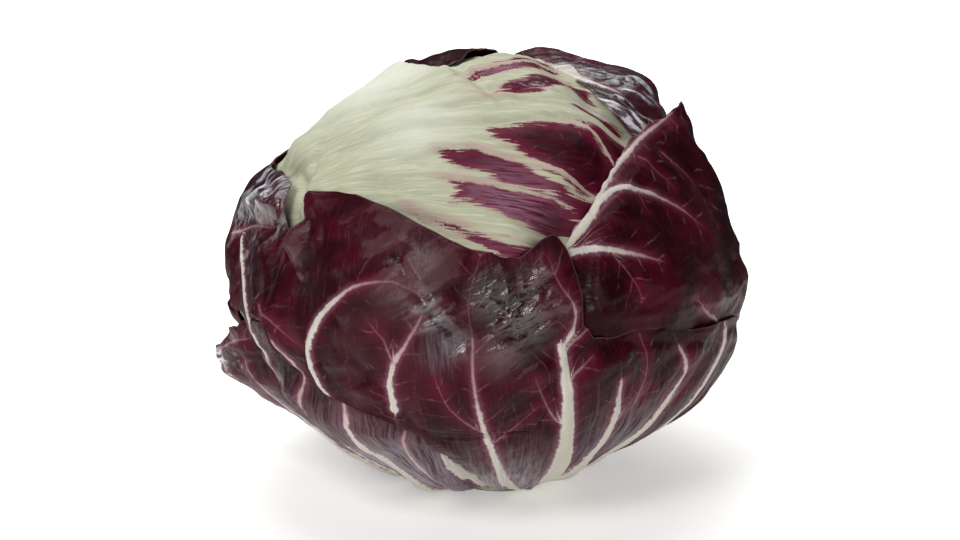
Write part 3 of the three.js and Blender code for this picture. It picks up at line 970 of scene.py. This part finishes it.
class RadicchioSizes(bpy.types.PropertyGroup):
    """Sizes of the leaves that show."""

    sheet: FloatProperty(
        name="Leaf thickness", description="Thickness of a leaf between its ribs",
        default=0.6 * MM, min=0.2 * MM, max=1.0 * MM, unit="LENGTH",
    )
    pitch: FloatProperty(
        name="Leaf spacing", description="From one leaf to the next one in",
        default=2.0 * MM, min=1.2 * MM, max=3.0 * MM, unit="LENGTH",
    )
    rib_rise: FloatProperty(
        name="Rib rise", description="Height of a rib as a share of its half width",
        default=0.5, min=0.0, max=1.0, subtype="FACTOR",
    )
    quilting: FloatProperty(
        name="Quilting", description="How far the blade swells between its ribs",
        default=0.9 * MM, min=0.0, max=2.0 * MM, unit="LENGTH",
    )
    crumpling: FloatProperty(
        name="Crumpling", description="Strength of the crumples and folds",
        default=1.0, min=0.0, max=2.0, subtype="FACTOR",
    )
    heart_cells: IntProperty(
        name="Heart grid", description="Grid cells along a heart leaf", default=36, min=8, max=80,
    )


def colour_setting(name, description, hex_colour):
    """A colour in the panel, given as sRGB and kept as linear RGBA."""
    return FloatVectorProperty(
        name=name, description=description, subtype="COLOR", size=4, default=linear(hex_colour),
    )


class RadicchioColours(bpy.types.PropertyGroup):
    """Colours of the leaves and the studio."""

    dark: colour_setting("Dark wine", "Darkest part of the blade", "#22040a")
    wine: colour_setting("Wine", "Main colour of the blade", "#3f0617")
    # Painted dull sheen: a greyish highlight laid into the blade's colour
    bloom: colour_setting("Painted sheen", "Dull purple bloom on the blade", "#5c3d40")
    magenta: colour_setting("Magenta", "Blade beside a rib", "#620e2c")
    mauve: colour_setting("Mauve", "Pale mottled patches", "#8f6276")
    pink: colour_setting("Vein pink", "Thin veins and margins", "#b98f90")
    cream: colour_setting("Cream", "Broad ribs", "#b9baa1")
    green: colour_setting("Green cream", "Greenish streaks of the ribs", "#a5a887")
    white: colour_setting("Rib white", "White streaks of the ribs", "#dcded0")
    # Also used for the painted highlight high on the cap's ribs
    rib: colour_setting("Rib", "Ribs of the wine red leaves", "#d6ccc8")
    # Painted glints on the raised crumples
    wax: colour_setting("Painted glint", "Pale wax on the raised crumples", "#d3d4dc")
    # Painted reflection of the floor, low on the outer leaves
    painted_floor_reflection: colour_setting("Lilac", "Greyish bloom low on the outer leaves", "#96929a")
    floor: colour_setting("Floor", "Pale floor and backdrop", "#f4f4f2")


def all_colours():
    """The colour settings as a plain dictionary of RGBA lists."""
    settings = bpy.context.scene.radicchio_colours
    return {key: list(getattr(settings, key)) for key in RadicchioColours.__annotations__}


# --- The leaves ------------------------------------------------------------------------------------

FAN_ORIGIN = direction(-172, 14)
PATCH_CENTRE = (-80, 50)
DRAWN_OUT = 0.82  # how much longer the crumples are along a leaf's grain: 1 / (1 - this)
PATCHES = (  # outlines of the wine patches between the ribs of the cap leaf
    [
        (-85, 57), (-81, 58), (-75, 58), (-65, 58), (-55, 56), (-50, 55), (-47, 52), (-46, 49),
        (-44, 45), (-42, 43), (-44, 39), (-52, 36), (-60, 39), (-63, 42), (-67, 44), (-70, 46),
        (-76, 52), (-80, 54),
    ],
    [(-50, 54.5), (-45, 53.5), (-32, 47), (-31, 41), (-42, 40), (-45, 45), (-47, 50)],
    [
        (-107, 52), (-95, 52), (-93, 53), (-79, 50), (-72, 46), (-69, 43), (-61, 38), (-57, 36.5),
        (-50, 34), (-52, 28), (-61, 32), (-68, 39), (-83, 44), (-88, 46), (-97, 47.5), (-103, 50),
    ],
    [
        (-103, 45), (-94, 45), (-90, 44), (-79, 41.5), (-73, 40.5), (-68, 38.5), (-65, 36.5),
        (-61, 32), (-50, 30), (-52, 26), (-60, 29), (-70, 29), (-77, 33), (-81, 34), (-89, 38),
        (-93, 39), (-97, 39), (-95, 41), (-98, 43),
    ],
    [
        (-118, 76), (-115, 79), (-107, 81.5), (-30, 84.5), (16, 79.5), (20, 76), (12, 74),
        (0, 71.5), (-10, 69), (-17, 71), (-21, 73.5), (-40, 77), (-54, 77.5), (-82, 78),
        (-98, 78), (-108, 77),
    ],
    [
        (-98, 69.5), (-83, 70), (-55, 72.5), (-44, 73), (-34, 72), (-22, 69), (-19, 66.5),
        (-22, 61), (-25, 58.5), (-29, 60), (-32, 62.5), (-40, 66), (-54, 67), (-60, 68),
        (-76, 68), (-86, 68.2),
    ],
    [
        (-42, 60.5), (-38, 59.5), (-30, 55.7), (-26, 51.4), (-25, 49), (-30, 49), (-34, 51.7),
        (-41, 58.5),
    ],
    [
        (-115, 38.5), (-104, 36.3), (-87, 31), (-81, 29), (-77, 28.3), (-60, 26), (-50, 24),
        (-50, 12), (-78, 22), (-83, 25.5), (-103, 33.8), (-110, 36),
    ],
)


PALE_SPOTS = [((-80, 38), 10, 1.0), ((-50, 81), 5, 1.0)]  # on the wine patches
# Painted highlight: where the cap leaf's ribs are whitened by the light from above
PAINTED_HIGHLIGHT_SPOTS = [((168, 64), 24, 0.8), ((-118, 58), 16, 0.55)]  # on the cap leaf's ribs

# The relief of a leaf, in mm apart from what is said to be in degrees
WAVES = (30, 0.4)  # length and height of the leaf's slow waves
BENDS = (20, 1.5)  # and of its large folds
PLEATS = (9, 3)  # lengths of the pleats low on a leaf
CREASES = (8.0, 3.6, 1.8)  # and of the creases higher up
UPPER = (46, 42)  # creases take over from pleats this far from the stem, over so many degrees
FOLD_ROUNDING = 0.3
THINNEST_VEIN = 0.15  # half width
TALLEST_RIB = 1.8  # half width that a rib's height stops growing at
QUILT_REACH = 4.0
SUNK = 0.4
FLOOR, FLOOR_GIVE = -0.5, 0.7  # where a valley starts to flatten out, and how far it still sinks
TUCK_REACH = 5.0
ROUND_EDGE = (0.3, 1.2)  # how much lower the very edge lies, and how far in from it that begins
BESIDE_STEM = (17, 16)  # the relief starts this far from the stem's middle, over so many degrees
COVERED_REACH = (-2.5, 3.5)  # a leaf flattens from this far inside the margin over it, in degrees
COVERED_LOSS, COVERED_RIB_LOSS = 0.85, 0.7


def zone(d, spots):
    """The strongest of some round spots: each a direction, its spread in degrees and strength."""
    field = np.zeros(d.shape[:-1])
    for at, spread, strength in spots:
        field = np.maximum(field, strength * bell(d, at, spread))
    return field


def relief_of(leaf, d, points, sizes):
    """Relief of a leaf in mm: (smooth part, ribs) and its point attributes.

    Ribs are half-round; the blade swells between them as 1 - exp(-distance / QUILT_REACH). The whole
    leaf is bent, pleated low down and creased higher up, and most in its crumples. Folds are ridges
    and valleys along their paths; margins tuck down to the leaf below.
    """
    data = leaf.data
    near = no_path(d.shape[:-1])
    for path, start, end in data["ribs"]:
        near = nearer(near, near_path(points, path, start, end))
    across = np.clip(near["inside"] / np.maximum(near["half"], THINNEST_VEIN), 0, 1)
    ribs = sizes.rib_rise * np.minimum(near["half"], TALLEST_RIB) * np.sqrt(across * (2 - across))
    quilt = sizes.quilting / MM * (1 - np.exp(np.minimum(near["inside"], 0) / QUILT_REACH))

    seed = 100 * (leaf.order + 1)
    wide_seed, fine_seed = (seed + k for k in data.get("fold_seeds", (1, 2)))
    crumple = sizes.crumpling * np.maximum(zone(d, data["crumples"]), 0.08)
    sheen = zone(d, data.get("sheens", ()))
    facets = data.get("facets", 1.0)
    grain = np.array(data.get("grain", (0, 0, 0)))
    drawn = points - DRAWN_OUT * (points @ grain)[..., None] * grain
    if data is CAP:
        fan, upper = fan_of(d, FAN_ORIGIN), 1.0
    else:
        fan = fan_of(d, TO_STEM)
        upper = smoothstep((fan["fan_reach"] - UPPER[0]) / UPPER[1])
    turn = np.radians(fan["fan_turn"])
    ring = FLAT_RADIUS * np.stack([np.cos(turn), np.sin(turn), 0 * turn], axis=-1)
    bends = crumpled(points, BENDS[0], wide_seed) * (0.3 + 0.7 * upper)
    pleats = crumpled(ring, PLEATS[0], seed + 3) + 0.4 * crumpled(ring, PLEATS[1], seed + 4)
    broad, small, fine = (crumpled(drawn, length, fine_seed) for length in CREASES)
    broad = upper * broad + (1 - upper) * pleats
    small = (0.2 + 0.8 * upper) * small
    relief = facets * (WAVES[1] * waves(points, WAVES[0], seed) + BENDS[1] * bends)
    relief += (0.65 * facets + 0.7 * crumple) * broad
    relief += (0.16 * facets + 0.5 * crumple) * small + 0.36 * crumple * fine
    # Height of the folds, carried to the skin: it paints shade into their valleys and a dull sheen
    # onto their ridges
    facet = 0.5 * bends + 0.6 * broad + 0.35 * small
    # Painted glints: pale highlights, strongest on the raised crumples
    wax = zone(d, data.get("wax", ())) * smoothstep(0.2 + 0.5 * broad + 0.7 * small + 0.7 * fine)
    for path, height, width in data["folds"]:
        away = near_path(points, path, 0, 0)["side"]
        fold = sizes.crumpling * height * np.exp(-np.hypot(away, FOLD_ROUNDING) / width)
        relief += fold
        facet += 0.5 * fold
    bearing, away = leaf.place(d)
    edge = np.maximum(leaf.margin(bearing) - away, 0) / leaf.steepness(bearing, away)
    edge = edge * np.radians(FLAT_RADIUS)
    relief = relief + quilt - SUNK
    relief -= sum(
        depth * (1 - smoothstep(edge / reach))
        for depth, reach in ((data["tuck"], TUCK_REACH), ROUND_EDGE)
    )
    relief = np.maximum(relief, FLOOR - FLOOR_GIVE * np.tanh((FLOOR - relief) / FLOOR_GIVE))
    for at, height, spread in data["lifts"]:
        relief += height * bell(d, at, spread)
    values = {
        "inside_rib": near["inside"], "rib_half": near["half"], "rib_side": near["side"],
        "rib_along": near["along"], "beside": near["beside"], "edge": edge, "crumple": crumple,
        "sheen": sheen, "wax": wax, "facet": facet, "drawn": drawn * MM,
        "painted_floor_reflection": zone(d, data.get("painted_floor_reflection", ())), **fan,
    }
    return relief, ribs, values


def fan_of(d, origin):
    """Fibres that run out from a leaf's base: the turn round it and the reach from it, in degrees."""
    up = np.array([0.0, 0.0, 1.0]) - origin * origin[2]
    up /= np.linalg.norm(up)
    side = np.cross(origin, up)
    turn = np.degrees(np.arctan2(d @ side, d @ up))
    return {"fan_turn": turn, "fan_reach": angle_between(d, origin)}


def cream_fields(d):
    """How far inside a wine patch, how pale the patch is, and how strong the painted highlight on the
    ribs is.
    """
    return {
        "patch": np.max([inside_outline(d, line, PATCH_CENTRE) for line in PATCHES], axis=0),
        "pale": zone(d, PALE_SPOTS),
        "painted_highlight": zone(d, PAINTED_HIGHLIGHT_SPOTS),
    }


def build_shown_leaf(leaf, material):
    """One leaf that shows: the chart's grid, sunk under the leaves over it, with its relief."""
    sizes = bpy.context.scene.radicchio_sizes
    cells = leaf.data["cells"] // 1 // 2 * 2
    bearing, share = disc_grid(cells)
    d = leaf.at(bearing, share * leaf.margin(bearing))
    d = clear_of_stem(d, head_radius(d))
    level = leaf_level(leaf.order, d, sizes.pitch / MM, SHOWN_REACH)
    round_points = MIDDLE + head_radius(d)[..., None] * d
    relief, ribs, values = relief_of(leaf, d, round_points, sizes)
    over = LEAVES[: leaf.order]
    covered = 1 - np.prod([1 - other.coverage(d, COVERED_REACH) for other in over], axis=0)
    by_stem = smoothstep((angle_between(d, TO_STEM) - BESIDE_STEM[0]) / BESIDE_STEM[1])
    free = (1 - COVERED_LOSS * covered) * by_stem
    if leaf.data is CAP:
        values.update(cream_fields(d))
    base = MIDDLE + (level + relief * free)[..., None] * d
    ribs = ribs * (1 - COVERED_RIB_LOSS * covered) * (0.3 + 0.7 * by_stem)
    outside = base + ribs[..., None] * d
    thickness = sizes.sheet / MM * (1 - 0.6 * share**10)
    piece = closed_sheet(f"{leaf.name}_sheet", outside, thickness, material, values, base)
    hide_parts(leaf.name)
    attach(piece, "root")
    return piece


def heart_level(d):
    """Height over the middle of the first heart leaf, as in the construction."""
    return leaf_level(len(LEAVES), d, CAD_PITCH, CAD_REACH) - HEART_CLEARANCE


def build_heart_leaf(number, material):
    """One heart leaf: an egg-shaped outline on a shell that shrinks from leaf to leaf."""
    sizes = bpy.context.scene.radicchio_sizes
    node = f"heart_leaf_{number + 1:02d}"
    centre = (number * GOLDEN_ANGLE, HEART_CENTRE_ELEVATION)
    # Only the chart is used: the egg below takes the place of these two points
    leaf = Leaf(len(LEAVES), dict(name=node, centre=centre, margin=[centre, (centre[0] + 1, 0)]))
    bearing, share = disc_grid(sizes.heart_cells)
    to_stem, aside = np.cos(np.radians(bearing)), np.sin(np.radians(bearing))
    end = np.where(to_stem > 0, angle_between(leaf.out, TO_STEM) - STEM_HALF_ANGLE, HEART_TIP)
    margin = 1 / np.hypot(to_stem / end, aside / HEART_SIDE)
    d = leaf.at(bearing, share * margin)
    shrink = 1 - HEART_SHRINK * number
    d = clear_of_stem(d, heart_level(d) * shrink)
    points = MIDDLE + (heart_level(d) * shrink)[..., None] * d
    across = np.abs(aside) * share * margin * np.radians(1) * HEART_RADIUS * shrink
    rib_half = 0.4 + 2.6 * smoothstep(0.5 + 0.5 * to_stem * share)
    inside_rib = rib_half * shrink - across
    base = points + (0.12 * waves(points, 9, number))[..., None] * d
    rise = 0.3 * smoothstep(inside_rib)
    values = {
        "inside_rib": inside_rib, "rib_half": rib_half * shrink, "rib_side": across,
        "rib_along": share, "crumple": np.full_like(share, 0.1), "edge": (1 - share) * margin,
        "drawn": points * MM, **fan_of(d, TO_STEM),
        **dict.fromkeys(("beside", "sheen", "wax", "facet", "painted_floor_reflection"), share * 0),
    }
    thickness = HEART_SHEET * (1 - 0.4 * share**8)
    outside = base + rise[..., None] * d
    piece = closed_sheet(f"{node}_sheet", outside, thickness, material, values, base)
    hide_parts(node)
    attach(piece, "root")
    return piece


STEM_SIDES, STEM_ROWS, CUT_ROWS = 96, 60, 14  # the first rows lie on the cut face
FLUTES, FLUTE_DEPTH = 9, 0.02  # the depth is a share of the radius
WORN_EDGE, WORN_HEIGHT = 0.5, 0.4
CUT_HOLLOW = 0.35


def build_stem(material):
    """The stem: circles carried up its leaning axis. The radius is a cone's, with a worn edge,
    shallow flutes and a hollowed cut face."""
    around, upright = STEM_SIDES, STEM_ROWS - CUT_ROWS
    rise = np.concatenate([np.zeros(CUT_ROWS), np.linspace(0.0, 1.0, upright) ** 1.2])
    share = np.concatenate([np.linspace(0, 1, CUT_ROWS), np.ones(upright)])
    turn = np.linspace(0, 2 * np.pi, around, endpoint=False)
    z = rise * STEM_TOP
    radius = STEM_RADIUS * (MIDDLE[2] - z) / MIDDLE[2] * share
    radius[[0, -1]] = 0
    flutes = 1 - FLUTE_DEPTH * (1 + np.cos(FLUTES * turn)) * np.where(rise > 0, 1, 0)[:, None]
    worn = WORN_EDGE * np.exp(-z[:, None] / WORN_HEIGHT) * (share[:, None] ** 6)
    ring = np.maximum(radius[:, None] * flutes - worn, 0)
    hollow = np.where(rise[:, None] > 0, 0, CUT_HOLLOW * (1 - share[:, None] ** 4))
    x = ring * np.cos(turn) + MIDDLE[0] * z[:, None] / MIDDLE[2]
    y = ring * np.sin(turn) + MIDDLE[1] * z[:, None] / MIDDLE[2]
    points = np.stack([x, y, z[:, None] + hollow + 0 * x], axis=-1)
    rows = len(z)
    body = points[1:-1].reshape(-1, 3)
    ends = np.array([points[0, 0], points[-1, 0]])
    index = np.arange((rows - 2) * around).reshape(rows - 2, around)
    right = np.roll(index, -1, axis=1)
    quads = np.stack([index[:-1], right[:-1], right[1:], index[1:]], axis=-1).reshape(-1, 4)
    low, high = (rows - 2) * around, (rows - 2) * around + 1
    bottom = np.stack([right[0], index[0], np.full(around, low)], axis=-1)
    top = np.stack([index[-1], right[-1], np.full(around, high)], axis=-1)
    faces = quads.tolist() + bottom.tolist() + top.tolist()
    piece = make_piece("stem_cone", np.vstack([body, ends]), faces, material)
    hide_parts("stem")
    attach(piece, "root")
    return piece


# --- Operators -------------------------------------------------------------------------------------


class RADICCHIO_OT_wrapper_leaves(bpy.types.Operator):
    """Build the seven wine-red leaves that wrap round the outside"""

    bl_idname = "radicchio.wrapper_leaves"
    bl_label = "Wrapper Leaves"

    def execute(self, context):
        skin = leaf_skin("radicchio leaf, wine red", all_colours(), cream=False)
        for leaf in LEAVES:
            if leaf.data is not CAP:
                build_shown_leaf(leaf, skin)
        return {"FINISHED"}


class RADICCHIO_OT_cap_leaf(bpy.types.Operator):
    """Build the cream ribbed leaf that fans over the top"""

    bl_idname = "radicchio.cap_leaf"
    bl_label = "Cap Leaf"

    def execute(self, context):
        skin = leaf_skin("radicchio leaf, cream ribs", all_colours(), cream=True)
        build_shown_leaf(LEAVES[-1], skin)
        return {"FINISHED"}


class RADICCHIO_OT_heart_leaves(bpy.types.Operator):
    """Build the leaves of the heart, one inside the other"""

    bl_idname = "radicchio.heart_leaves"
    bl_label = "Heart Leaves"

    def execute(self, context):
        skin = leaf_skin("radicchio leaf, pale heart", {
            **all_colours(), "dark": linear("#7c3348"), "wine": linear("#a05a6c"),
        }, cream=False)
        for number in range(HEART_LEAVES):
            build_heart_leaf(number, skin)
        return {"FINISHED"}


class RADICCHIO_OT_stem(bpy.types.Operator):
    """Build the trimmed stem that the head rests on"""

    bl_idname = "radicchio.stem"
    bl_label = "Stem"

    def execute(self, context):
        build_stem(cut_stem())
        return {"FINISHED"}


CAMERA_ELEVATION = 20.0
CAMERA_DISTANCE = 730.0
CAMERA_LENS = 120.0
CAMERA_AIM = MIDDLE + np.array([0.6, 0.0, 3.2])
SOFT_BOXES = (  # name, place, what it is turned to, size in mm, watts
    ("key soft box", (-330, -560, 640), MIDDLE, 300, 3.75),
    ("top soft box", (-60, 160, 800), MIDDLE, 500, 2.5),
    ("low soft box", (40, -900, 120), MIDDLE, 500, 0.8),
    ("backdrop light", (0, 500, 900), (0, 1200, 200), 900, 8),
)
AIR_LIGHT = 0.07
FLOOR_GLOW, BACKDROP_GLOW = 0.42, 0.5


def add_light(name, place, aim, size, watts):
    """A square soft box at a place in mm, turned to its aim."""
    data = bpy.data.lights.new(name, "AREA")
    data.size = size * MM
    data.energy = watts
    light = bpy.data.objects.new(name, data)
    light.location = Vector(place) * MM
    light.rotation_euler = (Vector(aim) - Vector(place)).to_track_quat("-Z", "Y").to_euler()
    bpy.context.scene.collection.objects.link(light)


class RADICCHIO_OT_studio(bpy.types.Operator):
    """Build the pale floor with its backdrop, the soft lights and the camera"""

    bl_idname = "radicchio.studio"
    bl_label = "Studio"

    def execute(self, context):
        # A lit white floor, and behind the head a sweep of the same sheet up to a wall
        width, front, behind, back, bend, wall = 3000.0, -1800.0, 90.0, 700.0, 500.0, 1800.0
        turn = np.linspace(0, np.pi / 2, 24)
        near = ([front, 0, behind], [0, 0, 0])
        far = (
            np.concatenate([[behind], back + bend * np.sin(turn), [back + bend]]),
            np.concatenate([[0], bend * (1 - np.cos(turn)), [wall]]),
        )
        floor_colour = list(context.scene.radicchio_colours.floor)
        sheets = (("studio_floor", near, FLOOR_GLOW), ("studio_backdrop", far, BACKDROP_GLOW))
        for name, (y, z), glow in sheets:
            material, tree = new_material(f"lit white sheet, {name}")
            grain = noise(tree, 6, 2)
            surface = add_node(tree, "ShaderNodeBsdfPrincipled", {
                "Base Color": floor_colour,
                "Roughness": ramp(tree, grain, 0.3, 0.7, 0.75, 0.85),
                "Specular IOR Level": 0.2,
                "Emission Color": floor_colour,
                "Emission Strength": glow,
            })
            add_node(tree, "ShaderNodeOutputMaterial", {"Surface": surface.outputs[0]})
            x, z = np.array([-width, width]), np.array(z)[:, None]
            y = np.array(y)[:, None]
            points = np.stack(np.broadcast_arrays(x, y, z), axis=-1).reshape(-1, 3)
            index = np.arange(2 * len(y)).reshape(-1, 2)
            quads = np.stack([index[:-1, 0], index[:-1, 1], index[1:, 1], index[1:, 0]], axis=-1)
            sheet = make_piece(name, points, quads.tolist(), material)
            sheet.visible_glossy = name == "studio_floor"

        world = bpy.data.worlds.new("studio air")
        world.use_nodes = True
        air = world.node_tree.nodes["Background"].inputs
        air["Color"].default_value = (1, 1, 1, 1)
        air["Strength"].default_value = AIR_LIGHT
        context.scene.world = world
        context.scene.view_settings.view_transform = "Standard"

        for box in SOFT_BOXES:
            add_light(*box)

        lens = bpy.data.cameras.new("studio camera")
        lens.lens = CAMERA_LENS
        camera = bpy.data.objects.new("studio camera", lens)
        tilt = math.radians(CAMERA_ELEVATION)
        back_off = np.array([0, -math.cos(tilt), math.sin(tilt)]) * CAMERA_DISTANCE
        camera.location = Vector(CAMERA_AIM + back_off) * MM
        camera.rotation_euler = (-Vector(back_off)).to_track_quat("-Z", "Y").to_euler()
        context.scene.collection.objects.link(camera)
        context.scene.camera = camera
        return {"FINISHED"}


class RADICCHIO_PT_panel(bpy.types.Panel):
    """The settings and the steps, in order"""

    bl_label = "Radicchio Head"
    bl_space_type = "VIEW_3D"
    bl_region_type = "UI"
    bl_category = "Radicchio"

    def draw(self, context):
        for group in (context.scene.radicchio_sizes, context.scene.radicchio_colours):
            for key in group.__annotations__:
                self.layout.prop(group, key)
        for step in STEPS:
            self.layout.operator(step.bl_idname)


STEPS = (
    RADICCHIO_OT_studio,
    RADICCHIO_OT_stem,
    RADICCHIO_OT_wrapper_leaves,
    RADICCHIO_OT_cap_leaf,
    RADICCHIO_OT_heart_leaves,
)
CLASSES = (RadicchioSizes, RadicchioColours, *STEPS, RADICCHIO_PT_panel)


def register():
    for item in CLASSES:
        bpy.utils.register_class(item)
    bpy.types.Scene.radicchio_sizes = PointerProperty(type=RadicchioSizes)
    bpy.types.Scene.radicchio_colours = PointerProperty(type=RadicchioColours)


def unregister():
    del bpy.types.Scene.radicchio_colours
    del bpy.types.Scene.radicchio_sizes
    for item in reversed(CLASSES):
        bpy.utils.unregister_class(item)


def main():
    """Registers the add-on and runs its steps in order."""
    register()
    for step in STEPS:
        group, name = step.bl_idname.split(".")
        getattr(getattr(bpy.ops, group), name)()


if __name__ == "__main__":
    main()
